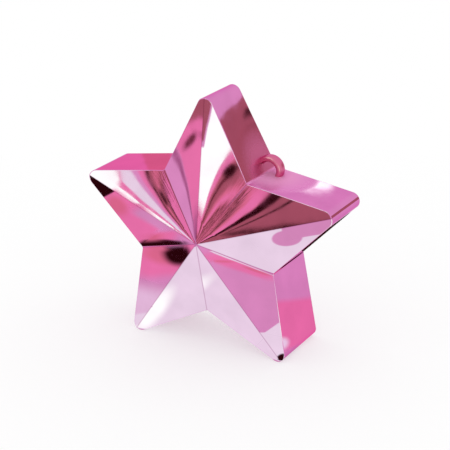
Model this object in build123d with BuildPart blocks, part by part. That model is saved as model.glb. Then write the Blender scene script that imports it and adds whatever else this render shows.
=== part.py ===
"""Balloon weight: a plated, sand-filled star that stands on its two lower points.

Millimetres. +X to the right seen from the front, +Y to the back, +Z up.
The origin is on the surface that the star stands on, in the middle of its width and depth.
"""

import os
from math import atan2, cos, hypot, radians, sin, tan

from build123d import *

# Star body
tip_radius = 53.0  # centre of the star to the sharp point of an arm, before rounding
corner_radius = 27.1  # centre of the star to an inner corner
tip_rounding = 3.0  # rounding of the points, seen from the front
body_depth = 22.7  # rim plane to back face, at the height of the star's centre
apex_rise = 7.1  # rim plane to the point where the front facets meet
back_lean = 3.6  # degrees that the back face leans forward, so the feet are deepest
side_wall = 1.8
facet_wall = 1.8
least_rounding = 0.3  # smallest rounding left on the inner outlines
overrun = 10.0  # how far cutting shapes reach past what they cut

# Back cover, seated in a rebate behind the side walls
cover_thickness = 1.8
rebate_width = 0.9
cover_clearance = 0.1

# Filling hole and its stopper, in the middle of the cover
hole_radius = 5.0
plug_clearance = 0.05
head_radius = 7.0
head_thickness = 1.0
head_clearance = 0.2
boss_wall = 2.0
boss_length = 4.0
plug_wall = 1.1
plug_reach = 5.4  # under the head to the inner end of the stopper
plug_lead_in = 0.5
prise_notch_radius = 1.8

# Ribbon loop, an arch over the corner between the top arm and the right arm
loop_outer_radius = 5.0
loop_band = 2.2
loop_depth = 4.2
loop_offset = 1.2  # corner to the arch's centre
loop_edge_rounding = 0.7
loop_rounding_limit_share = 0.33  # largest rounding, of the band or of the depth
loop_place_share = 0.71  # of the way from the rim plane to the back face

# Ballast
fill_clearance = 0.25
fill_level_share = 0.6  # of the way from the star's centre to its top point

ARMS = 5
ARM_STEP = 360 / ARMS
HALF_STEP = ARM_STEP / 2
TOP_ARM = 90
FOOT_ARM = TOP_ARM - 2 * ARM_STEP
LOOP_CORNER = TOP_ARM - HALF_STEP

# Half angle of a point, and how far every edge of the outline lies from the star's centre
edge_run = corner_radius * sin(radians(HALF_STEP))
edge_rise = tip_radius - corner_radius * cos(radians(HALF_STEP))
tip_half_angle = atan2(edge_run, edge_rise)
edge_distance = tip_radius * sin(tip_half_angle)

# The star rests on the rounding of its two lower points
rounding_centre = tip_radius - tip_rounding / sin(tip_half_angle)
star_z = tip_rounding - rounding_centre * sin(radians(FOOT_ARM))
top_reach = rounding_centre + tip_rounding
lean_slope = tan(radians(back_lean))
foot_depth = body_depth + star_z * lean_slope
rim_y = (apex_rise - foot_depth) / 2
back_y = rim_y + body_depth

# Planes: the rim seen from the front, the back face, and the seat of the cover in front of it
rim_plane = Plane(origin=(0, rim_y, star_z), x_dir=(1, 0, 0), z_dir=(0, -1, 0))
back_normal = (0, cos(radians(back_lean)), sin(radians(back_lean)))
back_plane = Plane(origin=(0, back_y, star_z), x_dir=(-1, 0, 0), z_dir=back_normal)
seat_plane = back_plane.offset(-cover_thickness)
through_depth = foot_depth + overrun


def polar(radius, angle):
    """Point at a radius and an angle in degrees around the star's centre."""
    return (radius * cos(radians(angle)), radius * sin(radians(angle)))


def star_face(plane, inset):
    """Rounded star outline on a plane, with every edge moved in by the same distance."""
    scale = (edge_distance - inset) / edge_distance
    points = []
    for arm in range(ARMS):
        angle = TOP_ARM - arm * ARM_STEP
        points.append(polar(tip_radius * scale, angle))
        points.append(polar(corner_radius * scale, angle - HALF_STEP))
    with BuildSketch(plane) as star:
        with BuildLine():
            Polyline(*points, close=True)
        make_face()
        tips = star.vertices().sort_by_distance((0, 0))[-ARMS:]
        fillet(tips, radius=max(tip_rounding - inset, least_rounding))
    return star.sketch


def faceted_front(inset, thickness):
    """Rim plane and apex of a faceted front that lies a thickness behind the outer facets."""
    shift = thickness * hypot(apex_rise, edge_distance) / edge_distance
    plane = rim_plane.offset(apex_rise * inset / edge_distance - shift)
    apex = Vertex(0, rim_y - apex_rise + shift, star_z)
    return plane, apex


# Space that the rebate and the cover share behind the seat plane
with BuildPart() as rebate:
    extrude(star_face(rim_plane, rebate_width), amount=-through_depth)
    split(bisect_by=seat_plane, keep=Keep.TOP)

# Front shell: facets and side walls in one moulding, open at the back
cavity_plane, cavity_apex = faceted_front(side_wall, facet_wall)
with BuildPart() as front_shell:
    outer_rim = star_face(rim_plane, 0)
    extrude(outer_rim, amount=-through_depth)
    split(bisect_by=back_plane, keep=Keep.BOTTOM)
    loft([outer_rim.face(), Vertex(0, rim_y - apex_rise, star_z)], ruled=True)
    inner_rim = star_face(cavity_plane, side_wall)
    extrude(inner_rim, amount=-through_depth, mode=Mode.SUBTRACT)
    loft([inner_rim.face(), cavity_apex], ruled=True, mode=Mode.SUBTRACT)
    add(rebate.part, mode=Mode.SUBTRACT)
front_shell.part.label = "front_shell"

# Ribbon loop: a band across the corner, its feet flush with the two walls
corner_wall_depth = body_depth - corner_radius * sin(radians(LOOP_CORNER)) * lean_slope
loop_plane = rim_plane.offset(-loop_place_share * corner_wall_depth)
with BuildPart() as ribbon_loop:
    with BuildSketch(loop_plane):
        with Locations(polar(corner_radius + loop_offset, LOOP_CORNER)):
            Circle(loop_outer_radius)
            Circle(loop_outer_radius - loop_band, mode=Mode.SUBTRACT)
    extrude(amount=loop_depth / 2, both=True)
    rounding_limit = loop_rounding_limit_share * min(loop_band, loop_depth)
    fillet(ribbon_loop.edges().filter_by(GeomType.CIRCLE), radius=min(loop_edge_rounding, rounding_limit))
    extrude(star_face(rim_plane, 0), amount=-through_depth, mode=Mode.SUBTRACT)
ribbon_loop.part.label = "ribbon_loop"

# Back cover: star plate flush with the rear edge, with a bossed and counterbored filling hole
boss_radius = hole_radius + boss_wall
recess_radius = head_radius + head_clearance
with BuildPart() as back_cover:
    extrude(star_face(rim_plane, rebate_width + cover_clearance), amount=-through_depth)
    split(bisect_by=back_plane, keep=Keep.BOTTOM)
    split(bisect_by=seat_plane, keep=Keep.TOP)
    with BuildSketch(seat_plane):
        Circle(boss_radius)
    extrude(amount=-boss_length)
    with Locations(back_plane):
        CounterBoreHole(
            radius=hole_radius,
            counter_bore_radius=recess_radius,
            counter_bore_depth=head_thickness,
            depth=cover_thickness + boss_length,
        )
    with BuildSketch(back_plane):
        with Locations((0, -recess_radius)):
            Circle(prise_notch_radius)
    extrude(amount=-head_thickness, mode=Mode.SUBTRACT)
back_cover.part.label = "back_cover"

# Filler plug: flat head in the recess and a hollow shank in the hole
shank_radius = hole_radius - plug_clearance
head_plane = back_plane.offset(-head_thickness)
with BuildPart() as filler_plug:
    with BuildSketch(head_plane):
        Circle(head_radius)
    extrude(amount=head_thickness)
    with BuildSketch(head_plane):
        Circle(shank_radius)
    extrude(amount=-plug_reach)
    inner_end = filler_plug.faces().sort_by(Axis(back_plane.origin, back_plane.z_dir))[0]
    chamfer(inner_end.edges(), length=plug_lead_in)
    with BuildSketch(head_plane.offset(-plug_reach)):
        Circle(shank_radius - plug_wall)
    extrude(amount=plug_reach - plug_wall, mode=Mode.SUBTRACT)
filler_plug.part.label = "filler_plug"

# Sand fill: follows the inside of the shell up to a level surface, clear of the boss and the plug
fill_inset = side_wall + fill_clearance
fill_plane, fill_apex = faceted_front(fill_inset, facet_wall + fill_clearance)
fill_level = star_z + fill_level_share * top_reach
pocket_depth = max(boss_length, head_thickness + plug_reach - cover_thickness) + fill_clearance
with BuildPart() as sand_fill:
    fill_rim = star_face(fill_plane, fill_inset)
    extrude(fill_rim, amount=-through_depth)
    split(bisect_by=seat_plane.offset(-fill_clearance), keep=Keep.BOTTOM)
    loft([fill_rim.face(), fill_apex], ruled=True)
    split(bisect_by=Plane.XY.offset(fill_level), keep=Keep.BOTTOM)
    with BuildSketch(seat_plane):
        Circle(boss_radius + fill_clearance)
    extrude(amount=-pocket_depth, mode=Mode.SUBTRACT)
sand_fill.part.label = "sand_fill"

os.makedirs("parts", exist_ok=True)
for piece in (front_shell, ribbon_loop, back_cover, filler_plug, sand_fill):
    export_step(piece.part, f"parts/{piece.part.label}.step")
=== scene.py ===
"""Looks of the balloon weight: a pink mirror-plated star with a sand filling.

Metres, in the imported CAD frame. The tones of the front are reflections of tinted studio cards, which
were placed for the photograph's viewpoint and show only in reflections.
"""

import math

import bpy
import numpy as np
from mathutils import Matrix, Vector


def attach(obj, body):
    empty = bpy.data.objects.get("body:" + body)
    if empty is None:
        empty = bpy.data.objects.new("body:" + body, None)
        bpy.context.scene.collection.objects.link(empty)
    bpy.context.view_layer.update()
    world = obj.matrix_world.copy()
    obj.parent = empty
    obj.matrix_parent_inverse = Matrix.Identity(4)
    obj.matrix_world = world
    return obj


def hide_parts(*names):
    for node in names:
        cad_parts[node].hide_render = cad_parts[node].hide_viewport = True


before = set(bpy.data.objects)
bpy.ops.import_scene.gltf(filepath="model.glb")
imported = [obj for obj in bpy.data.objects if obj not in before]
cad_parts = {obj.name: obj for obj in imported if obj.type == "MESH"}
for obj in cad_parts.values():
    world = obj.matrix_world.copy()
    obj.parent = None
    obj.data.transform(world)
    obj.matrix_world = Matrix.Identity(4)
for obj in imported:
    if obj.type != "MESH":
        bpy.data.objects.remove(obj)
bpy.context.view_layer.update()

MM = 0.001

# Star body, as in the CAD source
tip_radius = 53.0 * MM  # centre of the star to the sharp point of an arm
corner_radius = 27.1 * MM  # centre of the star to an inner corner
tip_rounding = 3.0 * MM
body_depth = 22.7 * MM  # rim plane to back face, at the height of the star's centre
apex_rise = 7.1 * MM  # rim plane to the point where the front facets meet
back_lean = math.radians(3.6)
side_wall = 1.8 * MM
facet_wall = 1.8 * MM
least_rounding = 0.3 * MM
cover_thickness = 1.8 * MM
rebate_width = 0.9 * MM

# Ribbon loop
loop_outer_radius = 5.0 * MM
loop_band = 2.2 * MM
loop_depth = 4.2 * MM
loop_offset = 1.2 * MM  # corner to the arch's centre
loop_place_share = 0.71  # of the way from the rim plane to the back face
loop_fullness = 2.6  # of the band's section: 2 is an ellipse, more is squarer
loop_sweep = 95  # degrees either side of its top, to end inside the walls
LOOP_STEPS = 57
LOOP_SIDES = 32

# Small roundings, too fine for the CAD model
rim_rounding = 0.22 * MM
back_rounding = 0.35 * MM
valley_rounding = 0.5 * MM
apex_blunting = 0.012  # as a share of the way from the apex to the rim
apex_blunting_end = 0.2  # share of that way where it has died out
edge_support = 0.06 * MM  # narrow strip beside a rounding that keeps the flats next to it flat
cover_edge = 0.2 * MM
plug_edge = 0.25 * MM
BEVEL_SEGMENTS = 3
bevel_limit = math.radians(30)  # edges that bend less than this stay as they are

# Valleys that the thin facets run into softly: angle and half width in degrees, share softened
SOFT_VALLEYS = [(54, 27, 0.5), (126, 33, 0.5)]

# Columns of the shell's mesh, from the middle of an arm to an inner corner
TIP_COLUMNS = 10  # over the rounding of the point
MARGIN_COLUMNS = 2  # close beside it
EDGE_COLUMNS = 40
CORNER_COLUMNS = 10
margin_end = 1.08  # as a share of the angle that the rounding of the point takes up
corner_start = 0.94  # as a share of the angle to the inner corner

# Rings of the shell's mesh
APEX_RINGS = 8
FACET_RINGS = 64
ROUNDING_RINGS = 10
WALL_RINGS = 16
apex_start = 0.004  # first ring, as a share of the way from the apex to the rim
apex_end = 0.06  # share of that way where the facets' wider spacing starts
CAVITY_SHARES = (0.6, 0.2)  # rings of the cavity's front, as shares of the way from its apex

# Edges that bend more than this are shaded sharp
shell_sharp = math.radians(13)
loop_sharp = math.radians(60)

# Plating: the share of the light that it mirrors, and how it varies
PLATING = (0.68, 0.24, 0.505)
# The loop's plating is a darker, redder copy of the shell's: painted shade for the dark reflections round
# the loop
LOOP_PLATING_SHADED = (0.66, 0.16, 0.29)
EDGE_TINT = (0.85, 0.45, 0.72, 1)  # keeps the plating pink where it is seen at a low angle
back_shade = 0.97  # of the shell's plating
lacquer_shades = (0.95, 1.05)
shell_roughness = (0.02, 0.045)
loop_roughness = (0.28, 0.36)
back_roughness = (0.34, 0.44)
plating_wave = 0.03 * MM
back_wave = 0.05 * MM
shell_grain = 0.0002 * MM
loop_grain = 0.0004 * MM
back_grain = 0.001 * MM

# Noise textures: scale per metre, and detail
CLOUDS = (90, 3)
SCUFFS = (260, 5)
WAVES = (70, 1)
GRAIN = (2600, 2)
PLUG_CLOUDS = (220, 4)
PLUG_SCUFFS = (900, 4)
PLUG_SKIN = (3200, 3)
PLUG_WAVES = (300, 2)
SAND_DUST = (500, 2)
STREAKS = (1, 2)  # per streak, not per metre

# Range that holds most values of a noise texture
NOISE_LOW = 0.3
NOISE_HIGH = 0.7

# Painted shade in fine lines along the ridges and valleys: its tint, and where the lines start and stop
# fading
PAINTED_LINE_SHADE = (0.76, 0.64, 0.71, 1)
shade_line_edges = (0.08 * MM, 0.3 * MM)

# Crinkles along the two soft valleys
streaks_per_radian = 45
streak_length = 10 * MM
crinkled_angles = (math.radians(2), math.radians(11))  # where they start and stop fading
crinkle_height = 0.006 * MM

# Round the ribbon loop: duller plating, with painted light (a paler tone) on upward faces and painted shade
# (a deeper tone) on the others
PAINTED_LIGHT_UP = (0.84, 0.36, 0.65)  # on upward faces
PAINTED_SHADE_SIDES = (0.65, 0.18, 0.36)  # on the others
loop_dull_roughness = (0.32, 0.75)  # on the others and on upward faces
upward_normal_z = (0.5, 0.95)  # the normal's Z where a face starts to count as upward, and where it fully does
loop_patch_core = 8 * MM
loop_patch_reach = 18 * MM

# Filler plug and sand
MILKY_DARK = (0.80, 0.77, 0.74)
MILKY_LIGHT = (0.88, 0.86, 0.83)
PLASTIC_IOR = 1.51
plug_roughness = (0.38, 0.55)
plug_skin_height = 0.02 * MM
plug_wave_height = 0.06 * MM
SAND_TONES = [
    (0.0, (0.42, 0.33, 0.22)),
    (0.4, (0.66, 0.55, 0.39)),
    (0.8, (0.80, 0.71, 0.55)),
    (1.0, (0.88, 0.84, 0.76)),
]
sand_grains_per_metre = 1800
sand_roughness = (0.75, 1.0)
sand_relief = 0.25 * MM

# Studio
FLOOR_TONE = 0.5  # the rest of the white is light, so that the shadow stays as faint as in the photograph
FLOOR_RADIUS = 230 * MM
FLOOR_SIDES = 96
floor_drop = 0.05 * MM  # keeps the floor clear of the star's feet
arm_level = 30  # height in mm of the cards that only the side arms' lower facets mirror
card_ripple = 0.03  # waviness of the cards' edges, as a share of their half size
CARD_RIPPLES = (1.7, 1)  # scale per half size, and detail, of the noise that makes them wavy
far = 1500  # distance of the far cards, in mm
fan_gap = 5  # distance between the cards of a fan, in mm

# The photograph's viewpoint, fitted to the star's edges
camera_target = Vector((4.88, -4.64, 44.55)) * MM
camera_distance = 500.75 * MM
camera_azimuth = 29.04
camera_elevation = 20.76
camera_roll = math.radians(-0.3)
camera_lens = 117.3
sensor_width = 36


def light_for(tone, strength=1.0):
    """Light that the plating mirrors as an sRGB tone, given in hexadecimal."""
    shares = [int(tone[i : i + 2], 16) / 255 for i in (0, 2, 4)]
    linear = [v / 12.92 if v < 0.04045 else ((v + 0.055) / 1.055) ** 2.4 for v in shares]
    return tuple(strength * v / c for v, c in zip(linear, PLATING))


# Light of the studio cards, named after what the plating turns it into
WHITE = light_for("FFFAFD", 1.05)
GLINT = tuple(1.3 * v for v in WHITE)
PALE = light_for("F0E3F0")
LILAC = light_for("E7CEE4")
MAUVE = light_for("E0B6D7")
ORCHID = light_for("D286B8")
HOT_PINK = light_for("E670A8")
ROSE = light_for("D7658A")
PLUM = light_for("A05080")
MAROON = light_for("A04C61")
DARK = light_for("5C1E2C")
BLACK = light_for("28040A")

ARMS = 5
ARM_STEP = math.radians(360 / ARMS)
HALF_STEP = ARM_STEP / 2
TOP_ARM = math.radians(90)
FOOT_ARM = TOP_ARM - 2 * ARM_STEP
LOOP_CORNER = TOP_ARM - HALF_STEP

edge_run = corner_radius * math.sin(HALF_STEP)
edge_rise = tip_radius - corner_radius * math.cos(HALF_STEP)
tip_half_angle = math.atan2(edge_run, edge_rise)
edge_normal_angle = math.pi / 2 - tip_half_angle
edge_distance = tip_radius * math.sin(tip_half_angle)
rounding_centre = tip_radius - tip_rounding / math.sin(tip_half_angle)
star_z = tip_rounding - rounding_centre * math.sin(FOOT_ARM)
lean_slope = math.tan(back_lean)
rim_y = (apex_rise - body_depth - star_z * lean_slope) / 2
facet_angle = math.atan2(apex_rise, edge_distance)
rim_turn = math.pi / 2 - facet_angle
rim_run = rim_rounding * math.tan(rim_turn / 2)  # sharp edge of the rim to either end of its rounding


# Shapes


def from_tip(angle):
    """Angle to the nearest arm's middle line, from 0 to half a step."""
    return np.abs((angle - TOP_ARM + HALF_STEP) % ARM_STEP - HALF_STEP)


def pointed_radius(angle, inset=0.0):
    """Distance from the star's centre to its outline before the points are rounded."""
    a = from_tip(angle)
    distance = edge_distance - inset
    own = distance / np.cos(a - edge_normal_angle)
    across = distance / np.cos(ARM_STEP - a - edge_normal_angle)
    blend = np.clip(1 - np.abs(own - across) / valley_rounding, 0, None)
    return np.maximum(own, across) + blend**2 * valley_rounding / 4


def rounding_end(centre, rounding):
    """Angle from an arm's middle line to the end of the rounding of its point."""
    along = centre + rounding * math.sin(tip_half_angle)
    return math.atan2(rounding * math.cos(tip_half_angle), along)


def outline_radius(angle, inset=0.0):
    """Distance from the star's centre to its rounded outline, with every edge moved in by the inset."""
    a = from_tip(angle)
    rounding = max(tip_rounding - inset, least_rounding)
    centre = (edge_distance - inset - rounding) / math.sin(tip_half_angle)
    half_chord = np.sqrt(np.clip(rounding**2 - (centre * np.sin(a)) ** 2, 0, None))
    arc = centre * np.cos(a) + half_chord
    return np.where(a < rounding_end(centre, rounding), arc, pointed_radius(angle, inset))


def ring_angles():
    """Angles round the star: close together at the points and the inner corners."""
    tip = rounding_end(rounding_centre, tip_rounding)
    margin = margin_end * tip
    corner = corner_start * HALF_STEP
    spans = [
        (0, tip, TIP_COLUMNS),
        (tip, margin, MARGIN_COLUMNS),
        (margin, corner, EDGE_COLUMNS),
        (corner, HALF_STEP, CORNER_COLUMNS),
    ]
    half = np.concatenate([np.linspace(*span, endpoint=False) for span in spans])
    whole = np.concatenate([half, [HALF_STEP], ARM_STEP - half[:0:-1]])
    return np.concatenate([TOP_ARM + arm * ARM_STEP + whole for arm in range(ARMS)])


def valley_swell():
    """How far the softened valleys stand forward of the sharp ones at the rim, as a share of the rise."""
    swell = np.zeros_like(ANGLES)
    lean = edge_normal_angle - HALF_STEP
    for degrees, half_width, share in SOFT_VALLEYS:
        turn = np.abs((ANGLES - math.radians(degrees) + math.pi) % (2 * math.pi) - math.pi)
        width = math.radians(half_width)
        soft = np.where(turn < width, (turn**2 + width**2) / (2 * width), turn)
        swell += share * np.where(turn < width, np.cos(turn + lean) - np.cos(soft + lean), 0)
    return swell * OUTLINE / edge_distance


ANGLES = ring_angles()
OUTLINE = outline_radius(ANGLES)
FLAT_SHARE = OUTLINE / pointed_radius(ANGLES)  # 1 along the edges, less where a point is rounded off
VALLEY_SWELL = valley_swell()
RIM_EDGE_Y = rim_y - apex_rise * (1 - FLAT_SHARE + VALLEY_SWELL)


def ring(radius, y):
    """One closed ring of points round the star's axis."""
    x = radius * np.cos(ANGLES)
    z = star_z + radius * np.sin(ANGLES)
    return np.stack([x, np.broadcast_to(y, x.shape), z], axis=1)


def front_y(share):
    """Y of the front facets at a share of the way from the apex to the pointed outline."""
    blunt = np.where(share < apex_blunting_end, np.sqrt(share**2 + apex_blunting**2), share)
    return rim_y - apex_rise * (1 - blunt + VALLEY_SWELL * share)


def back_depth(radius, offset=0.0):
    """Y of the leaning back face, or of a plane parallel to it, under a ring of that radius."""
    y = rim_y + body_depth - lean_slope * radius * np.sin(ANGLES)
    return y + offset / math.cos(back_lean)


def facet_rings():
    """Front facets, flat up to the rim's rounding."""
    rim_share = 1 - rim_run * math.cos(facet_angle) / edge_distance
    edge_share = rim_share - edge_support / edge_distance
    near_apex = np.linspace(apex_start, apex_end, APEX_RINGS, endpoint=False)
    shares = [*near_apex, *np.linspace(apex_end, edge_share, FACET_RINGS), rim_share]
    return [ring(share * OUTLINE, front_y(share * FLAT_SHARE)) for share in shares]


def rim_rings():
    """Rounding between the facets and the side walls."""
    rings = []
    for turn in np.linspace(0, rim_turn, ROUNDING_RINGS)[1:]:
        inset = rim_rounding * (1 - math.cos(rim_turn - turn))
        y = RIM_EDGE_Y + rim_run - rim_rounding * math.sin(rim_turn - turn)
        rings.append(ring(OUTLINE * (1 - inset / edge_distance), y))
    return rings


def wall_rings():
    """Straight side walls."""
    start = RIM_EDGE_Y + rim_run
    end = back_depth(OUTLINE) - back_rounding
    depths = [start + edge_support]
    depths += [start + share * (end - start) for share in np.linspace(0, 1, WALL_RINGS)[1:-1]]
    depths += [end - edge_support, end]
    return [ring(OUTLINE, y) for y in depths]


def back_edge_rings():
    """Rounding of the rear edge."""
    rings = []
    for turn in np.linspace(0, math.pi / 2, ROUNDING_RINGS)[1:]:
        radius = outline_radius(ANGLES, back_rounding * (1 - math.cos(turn)))
        y = back_depth(radius) - back_rounding * (1 - math.sin(turn))
        rings.append(ring(radius, y))
    return rings


def inner_rings():
    """Rear lip, rebate for the cover, and the cavity, with the point that closes it in front."""
    rebate = outline_radius(ANGLES, rebate_width)
    cavity = outline_radius(ANGLES, side_wall)
    shift = facet_wall * math.hypot(apex_rise, edge_distance) / edge_distance
    cavity_front = rim_y - apex_rise * side_wall / edge_distance + shift
    rise = apex_rise * (edge_distance - side_wall) / edge_distance
    rings = [
        ring(rebate, back_depth(rebate)),
        ring(rebate, back_depth(rebate, -cover_thickness)),
        ring(cavity, back_depth(cavity, -cover_thickness)),
        ring(cavity, cavity_front),
    ]
    rings += [ring(cavity * share, cavity_front - rise * (1 - share)) for share in CAVITY_SHARES]
    return rings, (0, rim_y - apex_rise + shift, star_z)


def strip_faces(rows, count):
    """Faces between closed rows of points that follow each other."""
    faces = []
    for k in range(rows - 1):
        for i in range(count):
            j = (i + 1) % count
            faces.append((k * count + i, k * count + j, (k + 1) * count + j, (k + 1) * count + i))
    return faces


def smooth_mesh(name, verts, faces, sharp_angle):
    """A mesh with smooth shading except at its sharp edges."""
    mesh = bpy.data.meshes.new(name)
    mesh.from_pydata(verts, [], faces)
    mesh.polygons.foreach_set("use_smooth", [True] * len(mesh.polygons))
    mesh.set_sharp_from_angle(angle=sharp_angle)
    mesh.update()
    return mesh


def ring_mesh(name, rings, start, end):
    """A mesh through rings of points, closed by a pole at either end."""
    count = len(ANGLES)
    last = (len(rings) - 1) * count
    verts = [tuple(point) for points in rings for point in points]
    start_pole = len(verts)
    end_pole = start_pole + 1
    verts += [start, end]
    faces = strip_faces(len(rings), count)
    faces += [(start_pole, (i + 1) % count, i) for i in range(count)]
    faces += [(end_pole, last + i, last + (i + 1) % count) for i in range(count)]
    return smooth_mesh(name, verts, faces, shell_sharp)


def add_object(name, data):
    obj = bpy.data.objects.new(name, data)
    bpy.context.scene.collection.objects.link(obj)
    return obj


def make_shell():
    """Plated shell: facets, side walls, rear lip and cavity in one closed mesh."""
    outer = facet_rings() + rim_rings() + wall_rings() + back_edge_rings()
    inner, inner_apex = inner_rings()
    outer_apex = (0, front_y(0)[0], star_z)
    shell = add_object("plated_shell", ring_mesh("plated_shell", outer + inner, outer_apex, inner_apex))
    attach(shell, "star")
    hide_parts("front_shell")
    return shell


def loop_centre():
    """Centre of the ribbon loop's arch."""
    corner_depth = body_depth - corner_radius * math.sin(LOOP_CORNER) * lean_slope
    reach = corner_radius + loop_offset
    return (
        reach * math.cos(LOOP_CORNER),
        rim_y + loop_place_share * corner_depth,
        star_z + reach * math.sin(LOOP_CORNER),
    )


def fuller(value):
    """A sine or cosine pushed outwards, to make the loop's section squarer than an ellipse."""
    return math.copysign(abs(value) ** (2 / loop_fullness), value)


def loop_points():
    """Rows of points round the ribbon loop's band, from foot to foot."""
    centre_x, centre_y, centre_z = loop_centre()
    middle = loop_outer_radius - loop_band / 2
    points = []
    for turn in np.radians(np.linspace(-loop_sweep, loop_sweep, LOOP_STEPS)):
        c, s = math.cos(LOOP_CORNER + turn), math.sin(LOOP_CORNER + turn)
        for around in np.linspace(0, 2 * math.pi, LOOP_SIDES, endpoint=False):
            radius = middle + loop_band / 2 * fuller(math.cos(around))
            y = centre_y + loop_depth / 2 * fuller(math.sin(around))
            points.append((centre_x + radius * c, y, centre_z + radius * s))
    return points


def make_loop():
    """Ribbon loop: a rounded band that arches over the corner, its feet sunk into the two walls."""
    verts = loop_points()
    faces = strip_faces(LOOP_STEPS, LOOP_SIDES)
    faces.append(tuple(range(LOOP_SIDES)))
    faces.append(tuple(range(len(verts) - 1, len(verts) - LOOP_SIDES - 1, -1)))
    loop = add_object("plated_loop", smooth_mesh("plated_loop", verts, faces, loop_sharp))
    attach(loop, "star")
    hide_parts("ribbon_loop")
    return loop


# Nodes


def new_material(name):
    material = bpy.data.materials.new(name)
    material.use_nodes = True
    material.node_tree.nodes.clear()
    return material, material.node_tree


def add_node(tree, kind, **values):
    """A node with its properties and input values set; an input is named or numbered after in_."""
    node = tree.nodes.new(kind)
    for key, value in values.items():
        if key.startswith("in_"):
            name = key[3:]
            node.inputs[int(name) if name.isdigit() else name.replace("_", " ")].default_value = value
        else:
            setattr(node, key, value)
    return node


def link(tree, source, target):
    tree.links.new(source, target)


def feed(tree, node, terms):
    """Gives a node's first inputs a fixed value or another node's output each."""
    for socket, term in zip(node.inputs, terms):
        if isinstance(term, bpy.types.NodeSocket):
            link(tree, term, socket)
        else:
            socket.default_value = term


def calculate(tree, operation, *terms):
    """Output of a math node."""
    node = add_node(tree, "ShaderNodeMath", operation=operation)
    feed(tree, node, terms)
    return node.outputs["Value"]


def calculate_vector(tree, operation, *terms):
    """Output of a vector math node."""
    node = add_node(tree, "ShaderNodeVectorMath", operation=operation)
    feed(tree, node, terms)
    return node.outputs["Value" if operation == "DISTANCE" else "Vector"]


def mix_colours(tree, blend_type, share, first, second):
    node = add_node(tree, "ShaderNodeMixRGB", blend_type=blend_type)
    feed(tree, node, (share, first, second))
    return node.outputs["Color"]


def separate(tree, vector):
    """X, Y and Z of a vector."""
    node = add_node(tree, "ShaderNodeSeparateXYZ")
    link(tree, vector, node.inputs["Vector"])
    return node.outputs


def hypotenuse(tree, a, b):
    squares = calculate(tree, "MULTIPLY_ADD", a, a, calculate(tree, "MULTIPLY", b, b))
    return calculate(tree, "SQRT", squares)


def object_coords(tree):
    return add_node(tree, "ShaderNodeTexCoord").outputs["Object"]


def noise(tree, coords, scale, detail):
    node = add_node(tree, "ShaderNodeTexNoise", in_Scale=scale, in_Detail=detail)
    link(tree, coords, node.inputs["Vector"])
    return node.outputs["Fac"]


def spread(tree, value, low, high, from_low=NOISE_LOW, from_high=NOISE_HIGH):
    """A value carried from one range over to another."""
    node = add_node(tree, "ShaderNodeMapRange")
    feed(tree, node, (value, from_low, from_high, low, high))
    return node.outputs["Result"]


def ramp(tree, value, stops):
    """Colours along a value, each with its place."""
    node = add_node(tree, "ShaderNodeValToRGB")
    elements = node.color_ramp.elements
    while len(elements) < len(stops):
        elements.new(0.5)
    for element, (place, colour) in zip(elements, stops):
        element.position = place
        element.color = (*colour, 1)
    link(tree, value, node.inputs["Fac"])
    return node.outputs["Color"]


def mottle(tree, clouds, dark, light):
    """Two tones in the soft patches of a noise texture."""
    return ramp(tree, clouds, [(NOISE_LOW, dark), (NOISE_HIGH, light)])


def bump(tree, height, distance, normal=None):
    """Normal of a relief, laid over another normal where one is given."""
    node = add_node(tree, "ShaderNodeBump", in_Strength=1.0, in_Distance=distance)
    link(tree, height, node.inputs["Height"])
    if normal is not None:
        link(tree, normal, node.inputs["Normal"])
    return node.outputs["Normal"]


def show(tree, shader):
    """Makes a shader's output the material's surface."""
    out = add_node(tree, "ShaderNodeOutputMaterial")
    link(tree, shader, out.inputs["Surface"])


def principled(tree, **values):
    shader = add_node(tree, "ShaderNodeBsdfPrincipled", **values)
    show(tree, shader.outputs["BSDF"])
    return shader


# Materials


def shade(colour, share):
    return tuple(share * v for v in colour)


def plated(name, colour, roughness, wave, grain, is_shell=False):
    """Mirror plating under tinted lacquer: uneven lacquer, fine scuffs, slow waves and a fine grain."""
    material, tree = new_material(name)
    coords = object_coords(tree)
    shader = principled(tree, in_Metallic=1.0, in_Specular_Tint=EDGE_TINT)
    dark, light = [shade(colour, share) for share in lacquer_shades]
    lacquer_and_painted_tone = mottle(tree, noise(tree, coords, *CLOUDS), dark, light)
    scuffs = spread(tree, noise(tree, coords, *SCUFFS), *roughness)
    normal = bump(tree, noise(tree, coords, *WAVES), wave)
    if is_shell:
        # Shell only: painted light and painted shade in the tone round the loop, and duller plating there
        lacquer_and_painted_tone, scuffs = dull_and_paint_near_loop(tree, coords, lacquer_and_painted_tone, scuffs)
        place = round_the_star(tree, coords)
        # Painted shade: darker lines along the ridges and valleys
        lacquer_and_painted_tone = paint_shade_lines(tree, place, lacquer_and_painted_tone)
        normal = crinkles(tree, place, normal)
    normal = bump(tree, noise(tree, coords, *GRAIN), grain, normal)
    link(tree, lacquer_and_painted_tone, shader.inputs["Base Color"])
    link(tree, scuffs, shader.inputs["Roughness"])
    link(tree, normal, shader.inputs["Normal"])
    return material


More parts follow.
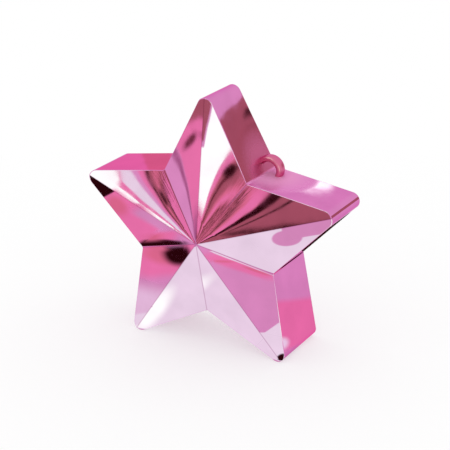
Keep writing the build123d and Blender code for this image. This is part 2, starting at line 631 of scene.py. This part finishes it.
def dull_and_paint_near_loop(tree, coords, lacquer_and_painted_tone, scuffs):
    """Dulls the plating round the loop, and paints light and shade into its tone there: a paler tone on
    upward faces, a deeper one on the others.
    """
    away = calculate_vector(tree, "DISTANCE", coords, loop_centre())
    near = spread(tree, away, 1, 0, loop_patch_core, loop_patch_reach)
    upward = separate(tree, add_node(tree, "ShaderNodeNewGeometry").outputs["Normal"])["Z"]
    painted_tone = ramp(tree, upward, list(zip(upward_normal_z, (PAINTED_SHADE_SIDES, PAINTED_LIGHT_UP))))
    dull = calculate(tree, "MULTIPLY", near, spread(tree, upward, *loop_dull_roughness, *upward_normal_z))
    lacquer_and_painted_tone = mix_colours(tree, "MIX", near, lacquer_and_painted_tone, painted_tone)
    return lacquer_and_painted_tone, calculate(tree, "MAXIMUM", scuffs, dull)


def round_the_star(tree, coords):
    """Angle and radius round the star's axis, and 1 on the front and 0 on the walls."""
    x, y, z = separate(tree, calculate_vector(tree, "SUBTRACT", coords, (0, 0, star_z)))
    angle = calculate(tree, "ARCTAN2", z, x)
    front = spread(tree, y, 1, 0, rim_y, rim_y + rim_rounding)
    return angle, hypotenuse(tree, x, z), front


def paint_shade_lines(tree, place, lacquer_and_painted_tone):
    """Painted shade: fine darker lines along the ridges and valleys of the front."""
    angle, radius, front = place
    quarter = HALF_STEP / 2
    turn = calculate(tree, "PINGPONG", calculate(tree, "ADD", angle, quarter), quarter)
    offset = calculate(tree, "MULTIPLY", radius, calculate(tree, "SINE", turn))
    line = calculate(tree, "MULTIPLY", spread(tree, offset, 1, 0, *shade_line_edges), front)
    return mix_colours(tree, "MULTIPLY", line, lacquer_and_painted_tone, PAINTED_LINE_SHADE)


def crinkles(tree, place, normal):
    """Fine streaks from the apex along the two soft valleys."""
    angle, radius, front = place
    along = add_node(tree, "ShaderNodeCombineXYZ")
    link(tree, calculate(tree, "MULTIPLY", angle, streaks_per_radian), along.inputs["X"])
    link(tree, calculate(tree, "MULTIPLY", radius, 1 / streak_length), along.inputs["Y"])
    streaks = noise(tree, along.outputs["Vector"], *STREAKS)
    from_top = calculate(tree, "ABSOLUTE", calculate(tree, "SUBTRACT", angle, TOP_ARM))
    from_valley = calculate(tree, "ABSOLUTE", calculate(tree, "SUBTRACT", from_top, HALF_STEP))
    near = calculate(tree, "MULTIPLY", spread(tree, from_valley, 1, 0, *crinkled_angles), front)
    return bump(tree, calculate(tree, "MULTIPLY", streaks, near), crinkle_height, normal)


def plug_plastic():
    """Soft moulded polyethylene: milky, slightly uneven, with a dull skin."""
    material, tree = new_material("plug_plastic")
    coords = object_coords(tree)
    shader = principled(tree, in_IOR=PLASTIC_IOR)
    milk = mottle(tree, noise(tree, coords, *PLUG_CLOUDS), MILKY_DARK, MILKY_LIGHT)
    scuffs = spread(tree, noise(tree, coords, *PLUG_SCUFFS), *plug_roughness)
    skin = bump(tree, noise(tree, coords, *PLUG_SKIN), plug_skin_height)
    waves = bump(tree, noise(tree, coords, *PLUG_WAVES), plug_wave_height, skin)
    link(tree, milk, shader.inputs["Base Color"])
    link(tree, scuffs, shader.inputs["Roughness"])
    link(tree, waves, shader.inputs["Normal"])
    return material


def dry_sand():
    """Dry washed sand: grains of several tones."""
    material, tree = new_material("dry_sand")
    coords = object_coords(tree)
    shader = principled(tree)
    grains = add_node(tree, "ShaderNodeTexVoronoi", in_Scale=sand_grains_per_metre)
    link(tree, coords, grains.inputs["Vector"])
    tone = add_node(tree, "ShaderNodeSeparateColor")
    link(tree, grains.outputs["Color"], tone.inputs["Color"])
    dust = spread(tree, noise(tree, coords, *SAND_DUST), *sand_roughness)
    link(tree, ramp(tree, tone.outputs["Red"], SAND_TONES), shader.inputs["Base Color"])
    link(tree, dust, shader.inputs["Roughness"])
    link(tree, bump(tree, grains.outputs["Distance"], sand_relief), shader.inputs["Normal"])
    return material


def dress(node_name, material, edge=None):
    """Gives a CAD node its material and, where a width is given, small rounded edges."""
    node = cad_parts[node_name]
    node.data.materials.clear()
    node.data.materials.append(material)
    if edge:
        rounding = node.modifiers.new("edges", "BEVEL")
        rounding.width = edge
        rounding.segments = BEVEL_SEGMENTS
        rounding.limit_method = "ANGLE"
        rounding.angle_limit = bevel_limit
        rounding.harden_normals = True


# Studio


def background_rays(tree):
    """1 for rays that should see the plain background: from the camera, in mirrors and through glass."""
    rays = add_node(tree, "ShaderNodeLightPath").outputs
    seen = calculate(tree, "MAXIMUM", rays["Is Camera Ray"], rays["Is Glossy Ray"])
    return calculate(tree, "MAXIMUM", seen, rays["Is Transmission Ray"])


def floor_paint():
    """Pale paint that renders white where it is lit and keeps the star's soft shadow."""
    material, tree = new_material("studio_floor")
    paint = add_node(tree, "ShaderNodeBsdfDiffuse", in_Color=(FLOOR_TONE, FLOOR_TONE, FLOOR_TONE, 1))
    lift = add_node(tree, "ShaderNodeEmission")
    strength = calculate(tree, "MULTIPLY", background_rays(tree), 1 - FLOOR_TONE)
    link(tree, strength, lift.inputs["Strength"])
    both = add_node(tree, "ShaderNodeAddShader")
    feed(tree, both, (paint.outputs[0], lift.outputs[0]))
    show(tree, both.outputs[0])
    return material


def make_floor():
    turns = np.linspace(0, 2 * math.pi, FLOOR_SIDES, endpoint=False)
    edge = [(FLOOR_RADIUS * math.cos(t), FLOOR_RADIUS * math.sin(t), 0) for t in turns]
    mesh = bpy.data.meshes.new("studio_floor")
    mesh.from_pydata(edge, [], [tuple(range(len(edge)))])
    floor = add_object("studio_floor", mesh)
    floor.location.z = -floor_drop
    floor.data.materials.append(floor_paint())


def make_world():
    """Plain white light from all sides."""
    world = bpy.data.worlds.new("studio")
    bpy.context.scene.world = world
    world.use_nodes = True
    background = world.node_tree.nodes["Background"]
    background.inputs["Color"].default_value = (1, 1, 1, 1)
    background.inputs["Strength"].default_value = 1.0


def aim(azimuth, elevation):
    """Unit vector away from the star, in degrees; azimuth 0 is straight in front, 90 to the right."""
    a, e = math.radians(azimuth), math.radians(elevation)
    return Vector((math.sin(a) * math.cos(e), -math.cos(a) * math.cos(e), math.sin(e)))


def make_camera():
    back = aim(camera_azimuth, camera_elevation)
    data = bpy.data.cameras.new("photo_camera")
    data.sensor_width = sensor_width
    data.lens = camera_lens
    camera = add_object("photo_camera", data)
    turn = (-back).to_track_quat("-Z", "Y").to_matrix().to_4x4()
    roll = Matrix.Rotation(camera_roll, 4, "Z")
    camera.matrix_world = Matrix.Translation(camera_target + back * camera_distance) @ turn @ roll
    bpy.context.scene.camera = camera


# Studio cards


def fade_out(tree, distance, softness):
    """1 inside a card and 0 at its edge, with a soft border."""
    node = add_node(tree, "ShaderNodeMapRange", interpolation_type="SMOOTHSTEP")
    feed(tree, node, (distance, 1.0, 1.0 - softness))
    return node.outputs["Result"]


def card_mask(tree, softness, is_round):
    """1 inside a card and 0 at its slightly wavy edges; softness is a number, or one each for X and Y."""
    place = object_coords(tree)
    scale, detail = CARD_RIPPLES
    ripple = add_node(tree, "ShaderNodeTexNoise", in_Scale=scale, in_Detail=detail)
    link(tree, place, ripple.inputs["Vector"])
    shifted = calculate_vector(tree, "MULTIPLY_ADD", ripple.outputs["Color"], (card_ripple,) * 3, place)
    centred = calculate_vector(tree, "SUBTRACT", shifted, (card_ripple / 2,) * 3)
    x, y, _ = separate(tree, centred)
    if is_round:
        return fade_out(tree, hypotenuse(tree, x, y), softness)
    soft_x, soft_y = softness if isinstance(softness, tuple) else (softness, softness)
    across = fade_out(tree, calculate(tree, "ABSOLUTE", x), soft_x)
    along = fade_out(tree, calculate(tree, "ABSOLUTE", y), soft_y)
    return calculate(tree, "MULTIPLY", across, along)


def card_material(name, tone, softness, is_round):
    """Light of one tone that fades out towards the card's edges."""
    material, tree = new_material(name)
    glow = add_node(tree, "ShaderNodeEmission", in_Color=(*tone, 1))
    clear = add_node(tree, "ShaderNodeBsdfTransparent")
    mix = add_node(tree, "ShaderNodeMixShader")
    feed(tree, mix, (card_mask(tree, softness, is_round), clear.outputs[0], glow.outputs[0]))
    show(tree, mix.outputs[0])
    return material


def make_card(name, centre, toward, size, tone, softness, roll=0, is_round=False):
    """A card that shows only in reflections, centred at a point in mm and facing along a direction."""
    mesh = bpy.data.meshes.new(name)
    mesh.from_pydata([(-1, -1, 0), (1, -1, 0), (1, 1, 0), (-1, 1, 0)], [], [(0, 1, 2, 3)])
    obj = add_object(name, mesh)
    turn = Vector(toward).to_track_quat("Z", "Y").to_matrix().to_4x4()
    spin = Matrix.Rotation(math.radians(roll), 4, "Z")
    scale = Matrix.Diagonal((size[0] * MM / 2, size[1] * MM / 2, 1, 1))
    obj.matrix_world = Matrix.Translation(Vector(centre) * MM) @ turn @ spin @ scale
    obj.data.materials.append(card_material(name, tone, softness, is_round))
    obj.visible_camera = False
    obj.visible_diffuse = False
    obj.visible_shadow = False


def near_card(name, x, y, z, toward, size, tone, softness, roll=0):
    """A card close to the star, placed in mm: X and Z in the frame, Y from the rim."""
    make_card(name, (x, rim_y / MM + y, z), toward, size, tone, softness, roll)


def floor_card(name, x, y, size, tone, softness, roll=0, height=0.4, is_round=False):
    """A level card, placed in mm: X in the frame, Y from the rim, and its height above the floor."""
    make_card(name, (x, rim_y / MM + y, height), (0, 0, 1), size, tone, softness, roll, is_round)


def far_card(name, azimuth, elevation, size, tone, softness, roll=0, distance=far, is_round=False):
    """A card far off in a direction from the star, with its size in degrees; nearer ones cover it."""
    away = aim(azimuth, elevation)
    centre = Vector((0, rim_y / MM, star_z / MM)) + away * distance
    lengths = [distance * math.radians(angle) for angle in size]
    make_card(name, centre, -away, lengths, tone, softness, roll, is_round)


def fan(name, start, lean, length, bands):
    """Long cards side by side from a direction on; bands give tone, first and last degree, softness."""
    turn = math.radians(lean)
    across = Vector((-math.cos(turn), math.sin(turn)))
    for k, (tone, first, last, softness) in enumerate(bands):
        place = Vector(start) + across * (first + last) / 2
        size = (last - first, length)
        far_card(f"{name}_{k}", *place, size, tone, softness, lean, far - fan_gap * k)


def light_feet():
    """Cards for the two lower arms: pale light, a pink streak on the right, a dark patch on the left."""
    floor_card("pool", -13.25, -18, (65.5, 48), LILAC, 0.05)
    floor_card("pool_front", 4.7, -42.3, (34, 30), LILAC, 0.02, roll=-9.25, height=0.5)
    floor_card("pool_left_foot", -51, -8.5, (22, 14), MAUVE, (0.3, 0.1), height=0.5)
    floor_card("pool_right", 26, -14, (18, 32), LILAC, 0.08, roll=3, height=0.6)
    floor_card("pool_right_end", 32.7, -31.7, (14, 9), LILAC, 0.1, roll=-59.5, height=0.7)
    floor_card("pool_left_base", -34.4, 3.2, (28.3, 44), ORCHID, (0.03, 0.12), roll=-37.3, height=10.99)
    floor_card("pool_left", -34.4, 3.2, (28.3, 44), MAUVE, (0.03, 0.8), roll=-37.3, height=11)
    floor_card("pool_white", -24.5, -8.5, (12, 32), WHITE, 0.7, roll=22, height=0.8, is_round=True)
    floor_card("front_pink", 24, -111, (56, 17), HOT_PINK, 0.5, roll=49)
    floor_card("front_streak", 29, -103, (23, 3), ROSE, 0.6, roll=52, height=0.5, is_round=True)
    floor_card("front_streak_end", 16, -115.5, (14, 4), ROSE, 0.6, roll=8, height=0.5, is_round=True)
    floor_card("left_pink", -97, -47, (56, 56), HOT_PINK, 0.5)
    floor_card("left_rose", -99, -46, (36, 24), ROSE, 0.7, height=0.5, is_round=True)
    floor_card("left_blob", -98.5, -52.5, (38, 16), BLACK, 0.5, roll=25, height=0.7, is_round=True)


def light_left_arm():
    """Cards for the left arm's lower facet, with the black lens in its valley and the black tip."""
    floor_card("lens_pink", -63, -25, (20, 10), HOT_PINK, 0.6, roll=-36, height=0.6)
    floor_card("left_lens", -62.2, -20.9, (36, 6.4), BLACK, 0.4, roll=-32.5, height=0.8, is_round=True)
    floor_card("left_arm_pink", -49, -6, (38, 14), HOT_PINK, 0.15, roll=4, height=arm_level)
    floor_card("left_arm_edge", -30, -6.5, (15, 7), ROSE, 0.9, roll=-36, height=arm_level)
    near_card("left_tip_dark", -71, -17.5, 40, (0.8, 0.45, 0.5), (14, 20), BLACK, 0.1)
    level = arm_level + 0.1
    floor_card("left_arm_rose", -57, -10.5, (22, 9), ROSE, 0.7, roll=14, height=level, is_round=True)
    floor_card("left_arm_orchid", -38.5, -14, (27, 9), ORCHID, 0.6, height=arm_level + 0.2)
    floor_card("left_arm_black", -72.5, -13, (16, 8), BLACK, 0.15, roll=12, height=arm_level + 0.3)
    floor_card("left_arm_white", -86, -15, (12, 8), WHITE, 0.1, roll=12, height=arm_level + 0.3)


def light_right_arm():
    """Cards for the right arm's lower facet: pale light with an orchid tip."""
    level = arm_level + 0.2
    floor_card("right_arm_lilac", 31.9, -28.2, (37.2, 40), LILAC, 0.05, roll=-35.7, height=arm_level)
    floor_card("right_arm_blob", 29.5, -19.3, (11.5, 8.5), ORCHID, 0.15, height=level, is_round=True)
    floor_card("right_arm_orchid", 39, -30, (26, 20), ORCHID, 0.06, roll=-12, height=arm_level + 0.3)


def light_lower_walls():
    """Cards for the right foot's tip and wall, and for the black lines on the right arm's lower wall."""
    floor_card("foot_black", 29.8, -3, (4.5, 10), BLACK, 0.4, roll=15, height=1.0, is_round=True)
    floor_card("behind_black", -2.4, 97, (10, 76), BLACK, (0.3, 0.1))
    floor_card("corner_black", 37, 66, (14, 28), BLACK, 0.2, height=0.8)
    floor_card("behind_pink", 58, 41, (84, 66), HOT_PINK, (0.1, 0.3), height=0.6)
    floor_card("foot_pale", 41.8, 18.6, (21, 7), LILAC, 0.7, roll=60, height=0.8, is_round=True)


def light_valleys_and_rims():
    """Cards for dark lines in the upper valleys, and for pale light on the loop and the right-hand rims."""
    far_card("tip_maroon", -28, -3, (40, 12), MAROON, 0.1, distance=1600)
    far_card("tip_maroon_side", -48.5, -0.6, (10, 7), MAROON, 0.05, distance=1600)
    far_card("loop_pale", -17, 28, (26, 16), PALE, 0.2)
    floor_card("rim_floor", 105, -48, (130, 70), WHITE, 0.2, roll=-30)
    far_card("rim_right", 57, 3, (20, 44), WHITE, 0.2)
    far_card("rim_top", -35, 60, (44, 24), WHITE, 0.2)


def light_top_right():
    """Cards for the top arm's right facet: white, a dark fan towards the valley and a maroon tip."""
    fan("top_right", (-0.6, -3.2), -22, 12, [
        (ROSE, 0, 8, 0.05),
        (HOT_PINK, 0, 1.0, 0.3),
        (MAROON, 0.8, 3.0, 0.5),
        (DARK, 1.4, 2.0, 0.8),
        (HOT_PINK, 3.0, 3.7, 0.8),
        (MAROON, 3.6, 6.2, 0.3),
        (DARK, 3.9, 4.3, 0.8),
        (ROSE, 4.6, 4.9, 0.8),
        (BLACK, 5.0, 5.4, 0.8),
        (WHITE, -9, 0.1, 0.03),
    ])
    far_card("top_right_white", 0.3, -0.5, (4.4, 3.4), WHITE, 0.1, distance=1440, is_round=True)
    far_card("top_right_dark", -2.4, -2.3, (2.6, 0.9), BLACK, 0.7, roll=30, distance=1430, is_round=True)
    near_card("top_tip_edge", -1.6, -49, 82, (0, 1, 0), (8.6, 22.5), ORCHID, 0.1, roll=8.6)
    near_card("top_tip_dark", -1.8, -48, 82.8, (0, 1, 0), (8, 20), MAROON, (0.1, 0.15), roll=8.6)


def light_right_upper():
    """Cards for the right arm's upper facet: maroon, with dark and pink streaks towards the valley."""
    fan("right_upper", (-18, 7.5), 70, 14, [
        (ROSE, -6, 0.5, 0.05),
        (HOT_PINK, -1.6, -0.1, 0.5),
        (MAROON, 0.2, 8, 0.03),
        (BLACK, -0.3, 1.1, 0.45),
        (BLACK, 1.7, 2.3, 0.9),
        (MAROON, -3.4, -1.7, 0.4),
        (BLACK, -2.6, -2.2, 0.8),
        (BLACK, -4.6, -4.1, 0.6),
    ])


def light_left_upper():
    """Cards for the left arm's upper facet: white, lilac and pink bands, darker towards the valley."""
    fan("left_upper", (-36, 7.25), -71.3, 14, [
        (HOT_PINK, 2.9, 8, 0.1),
        (HOT_PINK, 0.1, 1.1, 0.15),
        (LILAC, 0.9, 2.6, 0.25),
        (MAROON, 3.3, 5.0, 0.4),
        (BLACK, 3.5, 3.8, 0.8),
        (ROSE, 4.0, 4.4, 0.6),
        (BLACK, 4.6, 4.9, 0.8),
        (WHITE, -3, 0.25, 0.02),
    ])
    far_card("left_upper_dark", -37.9, 3.5, (1.4, 0.7), BLACK, 0.7, roll=20, distance=1430, is_round=True)
    far_card("left_tip_pink", -39.6, 7.5, (3.0, 2.2), HOT_PINK, 0.2, distance=1440, is_round=True)
    far_card("left_tip_white", -39.6, 7.9, (3.2, 2.4), WHITE, 0.1, distance=1430, is_round=True)


def light_top_left():
    """Cards for the top arm's left facet: pink, with a dark spot and a maroon tip."""
    fan("top_left", (-52.4, -6), 0, 12, [
        (HOT_PINK, 0.8, 9, 0.1),
        (PLUM, 0, 1.1, 0.8),
    ])
    far_card("top_left_plum", -54, -10.5, (12, 5), PLUM, 0.8, distance=1420)
    far_card("top_left_spot", -55.6, -5, (4.4, 0.8), DARK, 0.7, distance=1400, is_round=True)
    far_card("top_left_tip", -57, -2.6, (9, 3.2), MAROON, 0.15, distance=1390)


def light_upper_walls():
    """Cards for the top arm's right wall and the upper walls of the right and left arms."""
    far_card("top_wall", 149, 5.92, (24, 16), MAROON, 0.005, roll=1.5)
    far_card("top_wall_spot", 149.9, 13.1, (0.9, 0.6), BLACK, 0.8, roll=-45, distance=1400, is_round=True)
    far_card("top_wall_spot_2", 149.6, 12.2, (0.5, 0.9), BLACK, 0.8, distance=1400, is_round=True)
    far_card("right_wall_glint", -163.5, 26.4, (2.2, 1.0), GLINT, 0.5, roll=-20, is_round=True)
    far_card("left_wall", -143.5, 8.5, (12, 6), HOT_PINK, 0.1)
    far_card("left_wall_rose", -144.1, 8.5, (1.7, 4), ROSE, 0.3, distance=1450)


shell_pink = plated("plated_pink", PLATING, shell_roughness, plating_wave, shell_grain, is_shell=True)
loop_pink = plated("plated_loop", LOOP_PLATING_SHADED, loop_roughness, plating_wave, loop_grain)
back_pink = plated("plated_back", shade(PLATING, back_shade), back_roughness, back_wave, back_grain)
make_shell().data.materials.append(shell_pink)
make_loop().data.materials.append(loop_pink)
dress("back_cover", back_pink, cover_edge)
dress("filler_plug", plug_plastic(), plug_edge)
dress("sand_fill", dry_sand())

make_floor()
make_world()
make_camera()
light_feet()
light_left_arm()
light_right_arm()
light_lower_walls()
light_valleys_and_rims()
light_top_right()
light_right_upper()
light_left_upper()
light_top_left()
light_upper_walls()
bpy.context.scene.view_settings.view_transform = "Standard"
